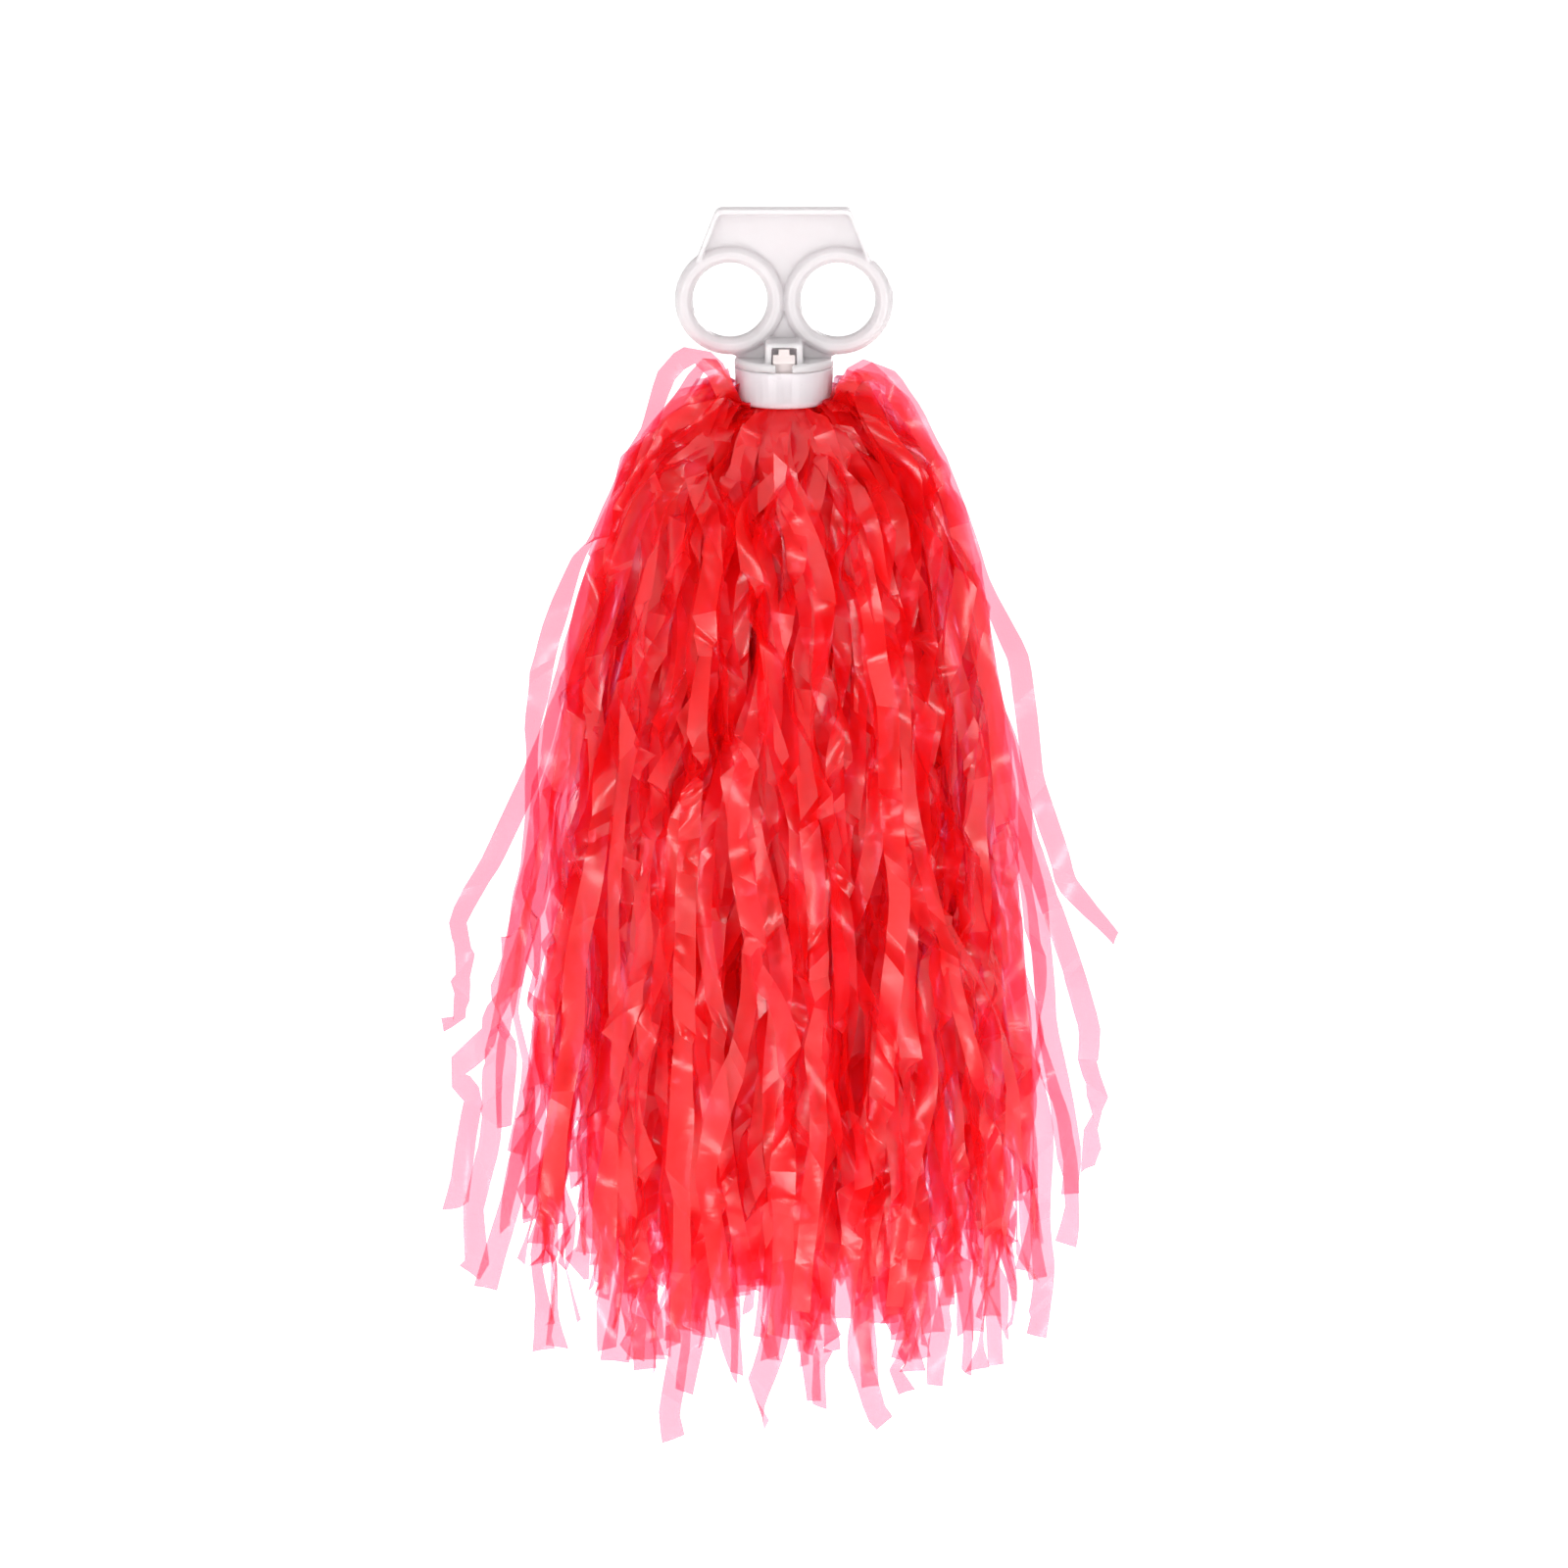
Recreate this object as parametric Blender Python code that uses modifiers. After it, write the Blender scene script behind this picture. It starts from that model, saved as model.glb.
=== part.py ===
"""A cheer pom pom: a white finger-ring handle, a collar cup that snaps under it, and tufts of slit
film that hang from the collar as a bell. Metres, +Z up, origin at the centre of the palm face, which
is the top of the handle. The finger holes run along Y and the front is towards -Y."""

import math
import random

import bmesh
import bpy
from mathutils import Vector

# Handle
FINGER_HOLE_R = 0.011
RING_TUBE_R = 0.00275
RING_DEPTH = 0.0084
RING_X = 0.0160
RING_Z = -0.0274
PALM_HALF_TOP = 0.0200
PALM_HALF_LOW = 0.0257
PALM_LOW_Z = -0.0145
PALM_CORNER_R = 0.0026
RIM_THICKNESS = 0.0014
RIM_DEPTH = 0.0080
RIM_EDGE_R = 0.0005
WEB_THICKNESS = 0.0030
NECK_HALF_WIDTH = 0.0120

# Latch housing, base flange and spigot, all one moulding with the handle
HOUSING_WIDTH = 0.0112
HOUSING_DEPTH = 0.0252
HOUSING_TOP_Z = -0.0386
HOUSING_EDGE_R = 0.0012
FLANGE_R = 0.0147
FLANGE_TOP_Z = -0.0447
FLANGE_LOW_Z = -0.0472
FLANGE_EDGE_R = 0.0006
SPIGOT_R = 0.0086
SPIGOT_LOW_Z = -0.0514
WINDOW_WIDTH = 0.0074
WINDOW_BACK_Y = 0.0086
WINDOW_TOP_Z = -0.0399
SLOT_FRONT_Y = 0.0129
MOUTH_WIDTH = 0.0048

# Collar cup
FIT_GAP = 0.0003
COLLAR_LOW_R = 0.0142
COLLAR_LOW_Z = -0.0582
COLLAR_INNER_R = 0.0132
COLLAR_EDGE_R = 0.0018
LIP_TOP_Z = -0.0566
LIP_HOLE_R = 0.0116

# Latch tabs, which are tongues of the collar
TAB_WIDTH = 0.0066
TAB_THICKNESS = 0.0013
TAB_FRONT_Y = 0.0123
TAB_ROOT_Z = -0.0512
TAB_SHOULDER_Z = -0.0420
TAB_TOP_Z = -0.0403
TAB_NOSE_WIDTH = 0.0032
BARB_REACH = 0.0014
BARB_LOW_Z = -0.0444
BARB_TOP_Z = -0.0424

# Bound end of the film sheets, and the tie round it
HEAD_R = 0.0124
HEAD_TOP_Z = -0.0520
HEAD_LOW_Z = -0.0562
HEAD_NECK_R = 0.0111
CROWN_TOP_Z = -0.0589
CROWN_R = 0.0166
CROWN_EDGE_TOP_Z = -0.0597
CROWN_LOW_Z = -0.0613
TIE_Z = -0.0541
TIE_R = 0.01175
TIE_WIRE_R = 0.0005
TIE_GROOVE_R = 0.0109
TIE_GROOVE_HALF = 0.0009

# Streamer tufts: radius and height of each layer's surface, from the collar down
SHEET_THICKNESS = 0.0012
SECTORS = 10
SECTOR_GAP = 0.0016
STRIP_WIDTH_MAX = 0.0074
STRIP_SHARE = 0.82
BELL_DEPTH_SHARE = 0.80
FULL_DEPTH_Z = -0.066
BELL_DEPTH_Z = -0.130
ROWS = 8
BAND_ROWS = 1
OUTER_PROFILE = [
    (0.0182, -0.0604), (0.0245, -0.0588), (0.0325, -0.0635), (0.0405, -0.0740), (0.0505, -0.0930),
    (0.0610, -0.1220), (0.0690, -0.1560), (0.0770, -0.1960), (0.0850, -0.2420), (0.0920, -0.2920),
    (0.1010, -0.3700),
]
INNER_PROFILE = [
    (0.0125, -0.0640), (0.0170, -0.0646), (0.0235, -0.0700), (0.0300, -0.0820), (0.0370, -0.1010),
    (0.0450, -0.1310), (0.0510, -0.1660), (0.0560, -0.2060), (0.0600, -0.2500), (0.0640, -0.3000),
    (0.0670, -0.3700),
]
CORE_PROFILE = [
    (0.0050, -0.0640), (0.0085, -0.0720), (0.0130, -0.0880), (0.0180, -0.1120), (0.0230, -0.1500),
    (0.0270, -0.2000), (0.0300, -0.2600), (0.0320, -0.3200), (0.0330, -0.3700),
]
OUTER_STRIPS, OUTER_ENDS = 5, (-0.300, -0.352)
INNER_STRIPS, INNER_ENDS = 4, (-0.296, -0.340)
CORE_TUFTS, CORE_STRIPS, CORE_ENDS = 4, 3, (-0.320, -0.369)

ROUND_STEPS = 40
CLEAR = 0.004
MERGE = 0.00001


def new_collection(name):
    collection = bpy.data.collections.new(name)
    bpy.context.scene.collection.children.link(collection)
    return collection


def clear_scene():
    for obj in list(bpy.data.objects):
        bpy.data.objects.remove(obj)


def make_material(name, colour, roughness, metallic=0.0):
    material = bpy.data.materials.new(name)
    material.use_nodes = True
    shader = material.node_tree.nodes["Principled BSDF"]
    shader.inputs["Base Color"].default_value = (*colour, 1.0)
    shader.inputs["Roughness"].default_value = roughness
    shader.inputs["Metallic"].default_value = metallic
    return material


def add_object(name, data, collection, material=None):
    obj = bpy.data.objects.new(name, data)
    collection.objects.link(obj)
    if material:
        obj.data.materials.append(material)
    return obj


def mesh_from(name, bm):
    mesh = bpy.data.meshes.new(name)
    bm.to_mesh(mesh)
    bm.free()
    return mesh


def smooth(obj, angle=35):
    obj.data.shade_smooth()
    obj.data.set_sharp_from_angle(angle=math.radians(angle))


def box_object(name, low, high, collection):
    """A box between two corners."""
    bm = bmesh.new()
    bmesh.ops.create_cube(bm, size=1.0)
    size = Vector(high) - Vector(low)
    middle = (Vector(high) + Vector(low)) / 2
    bmesh.ops.scale(bm, vec=size, verts=bm.verts)
    bmesh.ops.translate(bm, vec=middle, verts=bm.verts)
    return add_object(name, mesh_from(name, bm), collection)


def add_bevel(obj, width, segments=2):
    bevel = obj.modifiers.new("rounded_edges", "BEVEL")
    bevel.width = width
    bevel.segments = segments
    bevel.limit_method = "ANGLE"
    bevel.angle_limit = math.radians(40)


def arc(centre, radius, start, end, steps):
    """Points of an arc in a plane, angles in degrees."""
    points = []
    for i in range(steps + 1):
        a = math.radians(start + (end - start) * i / steps)
        points.append((centre[0] + radius * math.cos(a), centre[1] + radius * math.sin(a)))
    return points


def rounded(points, radius, steps=4):
    """An open path of points whose inner corners are rounded."""
    out = [Vector(points[0])]
    for before, here, after in zip(points, points[1:], points[2:]):
        here = Vector(here)
        into = (Vector(before) - here).normalized()
        away = (Vector(after) - here).normalized()
        half = into.angle(away) / 2
        cut = radius / math.tan(half)
        a, b = here + into * cut, here + away * cut
        centre = here + (into + away).normalized() * (radius / math.sin(half))
        for i in range(steps + 1):
            point = a.lerp(b, i / steps)
            out.append(centre + (point - centre).normalized() * radius)
    out.append(Vector(points[-1]))
    return out


def outline_mesh(name, points, depth, collection, edge_r=0.0):
    """A flat outline in X and Z, extruded to a depth along Y and made a mesh."""
    curve = bpy.data.curves.new(name, "CURVE")
    curve.dimensions = "2D"
    curve.fill_mode = "BOTH"
    curve.extrude = depth / 2 - edge_r
    curve.bevel_depth = edge_r
    curve.bevel_resolution = 1
    curve.offset = -edge_r
    spline = curve.splines.new("POLY")
    spline.points.add(len(points) - 1)
    for spot, (x, z) in zip(spline.points, points):
        spot.co = (x, z, 0, 1)
    spline.use_cyclic_u = True
    flat = add_object(name + "_outline", curve, collection)
    flat.rotation_euler = (math.radians(90), 0, 0)
    return curve_to_mesh(flat, name, collection)


def curve_to_mesh(flat, name, collection):
    """The curve's evaluated mesh as a new welded object in the curve's place."""
    bpy.context.view_layer.update()
    graph = bpy.context.evaluated_depsgraph_get()
    mesh = bpy.data.meshes.new_from_object(flat.evaluated_get(graph))
    mesh.transform(flat.matrix_world)
    bm = bmesh.new()
    bm.from_mesh(mesh)
    bmesh.ops.remove_doubles(bm, verts=bm.verts, dist=MERGE)
    bmesh.ops.recalc_face_normals(bm, faces=bm.faces)
    bm.to_mesh(mesh)
    bm.free()
    bpy.data.objects.remove(flat)
    mesh.name = name
    return add_object(name, mesh, collection)


def turned(name, profile, collection, steps=ROUND_STEPS):
    """A solid turned round Z from a profile of (radius, height), from its top to its bottom."""
    mesh = bpy.data.meshes.new(name)
    mesh.from_pydata([(r, 0, z) for r, z in profile], [(i, i + 1) for i in range(len(profile) - 1)], [])
    obj = add_object(name, mesh, collection)
    screw = obj.modifiers.new("turn", "SCREW")
    screw.steps = steps
    screw.render_steps = steps
    screw.use_merge_vertices = True
    screw.merge_threshold = MERGE
    return obj


def joined(obj, other, operation):
    """A Boolean of two objects. The second is kept as a guide."""
    modifier = obj.modifiers.new(operation.lower() + "_" + other.name, "BOOLEAN")
    modifier.operation = operation
    modifier.solver = "EXACT"
    modifier.object = other
    other.hide_render = True
    other.display_type = "WIRE"


def palm_side_x(z):
    """Half width of the palm's outline at a height."""
    share = z / PALM_LOW_Z
    return PALM_HALF_TOP + (PALM_HALF_LOW - PALM_HALF_TOP) * share


def palm_web(cutters):
    """The thin web, from inside the palm's rim down past the rings to the neck."""
    inset = RIM_THICKNESS / 2
    top = -inset
    ring_tube_r = FINGER_HOLE_R + RING_TUBE_R
    points = [(-palm_side_x(PALM_LOW_Z) + inset, PALM_LOW_Z), (-palm_side_x(top) + inset, top)]
    points += [(x * -1, z) for x, z in reversed(points)]
    points += arc((RING_X, RING_Z), ring_tube_r, 45, -60, 10)
    points += [(NECK_HALF_WIDTH, FLANGE_TOP_Z - 0.0008), (-NECK_HALF_WIDTH, FLANGE_TOP_Z - 0.0008)]
    points += arc((-RING_X, RING_Z), ring_tube_r, 240, 135, 10)
    return outline_mesh("palm_web", points, WEB_THICKNESS, cutters)


def palm_rim(cutters):
    """The rim along the top and both slanted sides, whose top is the palm face."""
    low = PALM_LOW_Z - 0.0010
    outer = [(-palm_side_x(low), low), (-palm_side_x(0), 0), (palm_side_x(0), 0), (palm_side_x(low), low)]
    t = RIM_THICKNESS
    inner = [(-palm_side_x(low) + t, low), (-palm_side_x(-t) + t, -t), (palm_side_x(-t) - t, -t)]
    inner += [(palm_side_x(low) - t, low)]
    points = rounded(outer, PALM_CORNER_R)
    points += list(reversed(rounded(inner, PALM_CORNER_R - t / 2)))
    return outline_mesh("palm_rim", points, RIM_DEPTH, cutters, RIM_EDGE_R)


def finger_ring(side, cutters):
    """One finger ring, a round tube made a little deeper than it is wide."""
    bpy.ops.mesh.primitive_torus_add(
        major_radius=FINGER_HOLE_R + RING_TUBE_R, minor_radius=RING_TUBE_R,
        major_segments=40, minor_segments=10,
    )
    ring = bpy.context.object
    ring.name = "finger_ring_" + ("left" if side < 0 else "right")
    for owner in list(ring.users_collection):
        owner.objects.unlink(ring)
    cutters.objects.link(ring)
    for vertex in ring.data.vertices:
        x, y, z = vertex.co
        vertex.co = (x + side * RING_X, -z * RING_DEPTH / (2 * RING_TUBE_R), y + RING_Z)
    return ring


def finger_hole(side, cutters):
    """The cutter that takes the web out of a finger ring."""
    bm = bmesh.new()
    r = FINGER_HOLE_R + RING_TUBE_R * 0.8
    bmesh.ops.create_cone(bm, cap_ends=True, segments=40, radius1=r, radius2=r, depth=0.02)
    for vertex in bm.verts:
        x, y, z = vertex.co
        vertex.co = (x + side * RING_X, -z, y + RING_Z)
    name = "finger_hole_" + ("left" if side < 0 else "right")
    return add_object(name, mesh_from(name, bm), cutters)


def base_flange(cutters):
    """The round base of the handle and the spigot under it."""
    e = FLANGE_EDGE_R
    profile = [(0, FLANGE_TOP_Z), (FLANGE_R - e, FLANGE_TOP_Z), (FLANGE_R, FLANGE_TOP_Z - e)]
    profile += [(FLANGE_R, FLANGE_LOW_Z), (SPIGOT_R, FLANGE_LOW_Z), (SPIGOT_R, SPIGOT_LOW_Z)]
    profile += [(0, SPIGOT_LOW_Z)]
    return turned("base_flange", profile, cutters)


def latch_housing(cutters):
    """The block over the flange that holds both latch windows."""
    low = (-HOUSING_WIDTH / 2, -HOUSING_DEPTH / 2, FLANGE_TOP_Z - 0.0010)
    high = (HOUSING_WIDTH / 2, HOUSING_DEPTH / 2, HOUSING_TOP_Z)
    block = box_object("latch_housing", low, high, cutters)
    add_bevel(block, HOUSING_EDGE_R, 2)
    return block


def latch_window(side, cutters):
    """The opening in the housing and the slot in the flange that a latch tab stands in. The slot's mouth
    is narrower than the tab, so that the barb still catches the flange on both sides of it."""
    near, far = sorted((side * WINDOW_BACK_Y, side * (HOUSING_DEPTH / 2 + CLEAR)))
    low = (-WINDOW_WIDTH / 2, near, FLANGE_TOP_Z)
    high = (WINDOW_WIDTH / 2, far, WINDOW_TOP_Z)
    name = "window_" + ("front" if side < 0 else "rear")
    window = box_object(name, low, high, cutters)
    near, far = sorted((side * WINDOW_BACK_Y, side * SLOT_FRONT_Y))
    low = (-WINDOW_WIDTH / 2, near, FLANGE_LOW_Z - CLEAR)
    high = (WINDOW_WIDTH / 2, far, FLANGE_TOP_Z + 0.0010)
    slot = box_object("slot_" + name, low, high, cutters)
    near, far = sorted((side * (SLOT_FRONT_Y - 0.0010), side * (FLANGE_R + CLEAR)))
    low = (-MOUTH_WIDTH / 2, near, FLANGE_LOW_Z - CLEAR / 2)
    high = (MOUTH_WIDTH / 2, far, FLANGE_TOP_Z + 0.0005)
    mouth = box_object("mouth_" + name, low, high, cutters)
    return window, slot, mouth


def handle_frame(parts, cutters, material):
    """The whole handle, one moulding. The web is its base and the other shapes are joined to it."""
    frame = palm_web(cutters)
    cutters.objects.unlink(frame)
    parts.objects.link(frame)
    frame.name = "handle_frame"
    frame.data.materials.append(material)
    joined(frame, palm_rim(cutters), "UNION")
    for side in (-1, 1):
        joined(frame, finger_hole(side, cutters), "DIFFERENCE")
    for side in (-1, 1):
        joined(frame, finger_ring(side, cutters), "UNION")
    joined(frame, base_flange(cutters), "UNION")
    joined(frame, latch_housing(cutters), "UNION")
    for side in (-1, 1):
        for cutter in latch_window(side, cutters):
            joined(frame, cutter, "DIFFERENCE")
    smooth(frame)


def collar_cup(parts, material):
    """The cup under the flange: a wall, a rounded bottom edge, and a lip round the way out."""
    top = FLANGE_LOW_Z - FIT_GAP
    e = COLLAR_EDGE_R
    profile = [(COLLAR_INNER_R, LIP_TOP_Z), (COLLAR_INNER_R, top), (FLANGE_R, top)]
    profile += arc((COLLAR_LOW_R - e, COLLAR_LOW_Z + e), e, 0, -90, 4)
    profile += [(LIP_HOLE_R, COLLAR_LOW_Z), (LIP_HOLE_R, LIP_TOP_Z), (COLLAR_INNER_R, LIP_TOP_Z)]
    collar = turned("collar_cup", profile, parts)
    collar.data.materials.append(material)
    smooth(collar)


def latch_tab(side, name, parts, material):
    """A springy tongue with a narrower nose and a barb that catches the flange.
    Its origin is on the line it bends about, at its root."""
    front, rear = TAB_FRONT_Y, TAB_FRONT_Y - TAB_THICKNESS
    points = [(rear, TAB_ROOT_Z), (front, TAB_ROOT_Z), (front, BARB_LOW_Z)]
    points += [(front + BARB_REACH, BARB_LOW_Z), (front, BARB_TOP_Z), (front, TAB_TOP_Z), (rear, TAB_TOP_Z)]
    bm = bmesh.new()
    ends = []
    for x in (-TAB_WIDTH / 2, TAB_WIDTH / 2):
        ends.append([bm.verts.new((x, side * y, z)) for y, z in points])
    bm.faces.new(ends[0])
    bm.faces.new(list(reversed(ends[1])))
    bmesh.ops.bridge_loops(bm, edges=[e for e in bm.edges])
    bmesh.ops.recalc_face_normals(bm, faces=bm.faces)
    pivot = Vector((0, side * (front + rear) / 2, TAB_ROOT_Z))
    bmesh.ops.translate(bm, vec=-pivot, verts=bm.verts)
    tab = add_object(name, mesh_from(name, bm), parts, material)
    tab.location = pivot
    return tab


def tab_shoulders(tab, side, cutters):
    """Cuts the corners beside the tab's nose."""
    for way in (-1, 1):
        near, far = sorted((way * TAB_NOSE_WIDTH / 2, way * (TAB_WIDTH / 2 + CLEAR)))
        low = (near, -0.02, TAB_SHOULDER_Z)
        high = (far, 0.02, TAB_TOP_Z + CLEAR)
        joined(tab, box_object(f"{tab.name}_corner_{way + 1}", low, high, cutters), "DIFFERENCE")


def bundle_head(parts, material):
    """The bound middle of the film sheets: a head that the collar's lip holds, with a groove for the tie,
    and the crown where the film turns out from under the collar."""
    g = TIE_GROOVE_HALF
    profile = [(0, HEAD_TOP_Z), (HEAD_R, HEAD_TOP_Z), (HEAD_R, TIE_Z + g), (TIE_GROOVE_R, TIE_Z + g)]
    profile += [(TIE_GROOVE_R, TIE_Z - g), (HEAD_R, TIE_Z - g), (HEAD_R, HEAD_LOW_Z)]
    profile += [(HEAD_NECK_R, HEAD_LOW_Z), (HEAD_NECK_R, CROWN_TOP_Z), (CROWN_R, CROWN_EDGE_TOP_Z)]
    profile += [(CROWN_R, CROWN_LOW_Z), (0, CROWN_LOW_Z)]
    head = turned("bundle_head", profile, parts)
    head.data.materials.append(material)
    smooth(head)


def binding_tie(parts, material):
    """The wire tie round the bound sheets."""
    bpy.ops.mesh.primitive_torus_add(
        major_radius=TIE_R, minor_radius=TIE_WIRE_R, major_segments=28, minor_segments=6,
        location=(0, 0, TIE_Z),
    )
    tie = bpy.context.object
    tie.name = "binding_tie"
    for owner in list(tie.users_collection):
        owner.objects.unlink(tie)
    parts.objects.link(tie)
    tie.data.materials.append(material)
    tie.data.shade_smooth()


def along(profile, share):
    """The point at a share of a profile's length, on straight stretches between its points."""
    lengths = [math.dist(a, b) for a, b in zip(profile, profile[1:])]
    target = share * sum(lengths)
    for (a, b), length in zip(zip(profile, profile[1:]), lengths):
        if target <= length:
            break
        target -= length
    t = min(target / length, 1.0)
    return a[0] + (b[0] - a[0]) * t, a[1] + (b[1] - a[1]) * t


def share_at_height(profile, z):
    """The share of a profile's length at which its last stretches pass a height."""
    low, high = 0.5, 1.0
    for _ in range(30):
        middle = (low + high) / 2
        if along(profile, middle)[1] > z:
            low = middle
        else:
            high = middle
    return low


def depth_share(z):
    """How much of its width the bell keeps from front to back at a height."""
    t = (FULL_DEPTH_Z - z) / (FULL_DEPTH_Z - BELL_DEPTH_Z)
    return 1 - (1 - BELL_DEPTH_SHARE) * min(max(t, 0), 1)


def on_bell(angle, radius, z, across=0.0):
    """A point of the bell. Angle 0 is the front, and across is a step sideways along the surface."""
    x = radius * math.sin(angle) + across * math.cos(angle)
    y = -radius * math.cos(angle) + across * math.sin(angle)
    return Vector((x, y * depth_share(z), z))


def tuft(name, angle, profile, strips, sectors, ends, sway, parts, material):
    """Half of a slit film sheet: a grid whose columns are strips and slits in turn, laid on the bell.
    The slits stop short of the top, and each strip has its own length and sway."""
    rng = random.Random(name)
    columns = 2 * strips - 1
    bm = bmesh.new()
    bmesh.ops.create_grid(bm, x_segments=columns, y_segments=ROWS, size=0.5)
    cell_x, cell_y = 1 / columns, 1 / ROWS
    slits = []
    for face in bm.faces:
        middle = face.calc_center_median()
        column = int((middle.x + 0.5) / cell_x)
        row = int((0.5 - middle.y) / cell_y)
        if column % 2 and row >= BAND_ROWS:
            slits.append(face)
    bmesh.ops.delete(bm, geom=slits, context="FACES")
    lengths = [share_at_height(profile, rng.uniform(*ends)) for _ in range(strips)]
    phases = [rng.uniform(0, math.tau) for _ in range(strips)]
    start = on_bell(angle, *profile[0])
    for vertex in bm.verts:
        line = round((vertex.co.x + 0.5) / cell_x)
        down = 0.5 - vertex.co.y
        strip, edge = line // 2, (-1, 1)[line % 2]
        radius, z = along(profile, down ** 1.25 * lengths[strip])
        pitch = (math.tau / sectors * radius - SECTOR_GAP) / strips
        half = min(STRIP_WIDTH_MAX, pitch * STRIP_SHARE) / 2
        drift = sway * down * math.sin(phases[strip] + 5.0 * down) * (pitch / 2 - half)
        turn = ((strip + 0.5) / strips - 0.5) * (strips * pitch) / radius
        vertex.co = on_bell(angle + turn, radius, z, edge * half + drift) - start
    bmesh.ops.recalc_face_normals(bm, faces=bm.faces)
    obj = add_object(name, mesh_from(name, bm), parts, material)
    obj.location = start
    solid = obj.modifiers.new("film_stack", "SOLIDIFY")
    solid.thickness = SHEET_THICKNESS
    solid.offset = 0
    return obj


def streamers(parts, film, film_dark, film_core):
    """Two layers of tufts, one of each in every sector, and the core tufts that hang in the middle."""
    for i in range(SECTORS):
        angle = math.tau * i / SECTORS
        number = f"{i + 1:02d}"
        tuft("streamer_outer_" + number, angle, OUTER_PROFILE, OUTER_STRIPS, SECTORS, OUTER_ENDS, 1.0,
             parts, film)
        tuft("streamer_inner_" + number, angle, INNER_PROFILE, INNER_STRIPS, SECTORS, INNER_ENDS, 0.8,
             parts, film_dark)
    for i in range(CORE_TUFTS):
        angle = math.tau * (i + 0.5) / CORE_TUFTS
        tuft(f"streamer_core_{i + 1:02d}", angle, CORE_PROFILE, CORE_STRIPS, CORE_TUFTS, CORE_ENDS, 0.8,
             parts, film_core)


def main():
    clear_scene()
    parts = new_collection("cheer_pom_pom")
    cutters = new_collection("cutters")
    white = make_material("handle_plastic", (0.90, 0.89, 0.89), 0.28)
    collar_white = make_material("collar_plastic", (0.90, 0.86, 0.88), 0.25)
    tab_clear = make_material("tab_plastic", (0.86, 0.76, 0.76), 0.3)
    wire = make_material("tie_wire", (0.60, 0.60, 0.60), 0.35, 1.0)
    bound = make_material("bound_film", (0.70, 0.02, 0.03), 0.4)
    film = make_material("film_outer", (0.86, 0.02, 0.03), 0.3)
    film_dark = make_material("film_inner", (0.72, 0.01, 0.02), 0.32)
    film_core = make_material("film_core", (0.60, 0.01, 0.02), 0.35)
    handle_frame(parts, cutters, white)
    collar_cup(parts, collar_white)
    for side, name in ((-1, "latch_tab_front"), (1, "latch_tab_rear")):
        tab_shoulders(latch_tab(side, name, parts, tab_clear), side, cutters)
    bundle_head(parts, bound)
    binding_tie(parts, wire)
    streamers(parts, film, film_dark, film_core)


main()
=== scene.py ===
"""Looks for the cheer pom pom: moulded white plastic, and bunches of loose film strips in place of the
plain tufts. Everything is in metres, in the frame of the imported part: +Z up, the front towards -Y."""

import math

import bmesh
import bpy
import numpy as np
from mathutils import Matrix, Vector


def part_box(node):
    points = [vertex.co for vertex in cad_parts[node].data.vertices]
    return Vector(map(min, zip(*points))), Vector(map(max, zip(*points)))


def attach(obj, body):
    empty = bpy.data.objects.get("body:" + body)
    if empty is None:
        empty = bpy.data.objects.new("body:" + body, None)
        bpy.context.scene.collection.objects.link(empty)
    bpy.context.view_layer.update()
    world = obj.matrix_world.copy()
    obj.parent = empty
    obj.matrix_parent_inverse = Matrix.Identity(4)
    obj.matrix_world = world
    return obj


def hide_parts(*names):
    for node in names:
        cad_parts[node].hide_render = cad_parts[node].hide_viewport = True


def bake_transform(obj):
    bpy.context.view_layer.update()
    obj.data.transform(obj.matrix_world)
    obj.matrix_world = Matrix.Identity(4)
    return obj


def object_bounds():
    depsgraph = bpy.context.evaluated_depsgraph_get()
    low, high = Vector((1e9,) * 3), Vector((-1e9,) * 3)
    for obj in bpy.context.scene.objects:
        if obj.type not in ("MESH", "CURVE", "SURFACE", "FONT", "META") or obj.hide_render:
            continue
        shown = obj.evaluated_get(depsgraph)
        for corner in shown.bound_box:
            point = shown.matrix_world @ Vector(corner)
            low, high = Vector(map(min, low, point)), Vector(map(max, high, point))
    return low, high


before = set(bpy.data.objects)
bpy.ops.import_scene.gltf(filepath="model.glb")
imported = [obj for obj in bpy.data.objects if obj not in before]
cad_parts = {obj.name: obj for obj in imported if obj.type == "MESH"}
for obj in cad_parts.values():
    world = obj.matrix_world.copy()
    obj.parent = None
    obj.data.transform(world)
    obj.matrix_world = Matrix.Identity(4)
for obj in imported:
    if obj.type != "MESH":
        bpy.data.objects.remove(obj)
CAD_LOW, CAD_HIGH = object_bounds()

# Camera and stage
LENS = 200.0
SENSOR = 36.0
FRAME_WIDTH = 0.4706
CAMERA_ELEVATION = 12.5
FRAME_CENTRE_Z = -0.1745
FLOOR_DROP = 0.35
FLOOR_RADIUS = 14.0
HORIZON_BAND = 0.08

# Soft lights: name, place, width and height, power in watts
LIGHTS = (
    ("key", (-1.05, -1.40, 0.15), (0.26, 0.60), 6.8),
    ("fill", (1.15, -1.25, 0.05), (0.22, 0.60), 4.6),
    ("high", (-0.15, -1.15, 1.15), (0.50, 0.28), 5.4),
    ("front", (0.15, -1.70, 0.50), (0.30, 0.24), 2.6),
    ("low_left", (-0.85, -1.40, -0.50), (0.24, 0.30), 2.8),
    ("low_right", (0.85, -1.40, -0.50), (0.24, 0.30), 2.8),
    ("top", (0.0, 0.0, 2.0), (3.20, 3.20), 40.0),
    ("rear", (0.70, 1.70, 0.30), (0.50, 0.80), 9.0),
)

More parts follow.
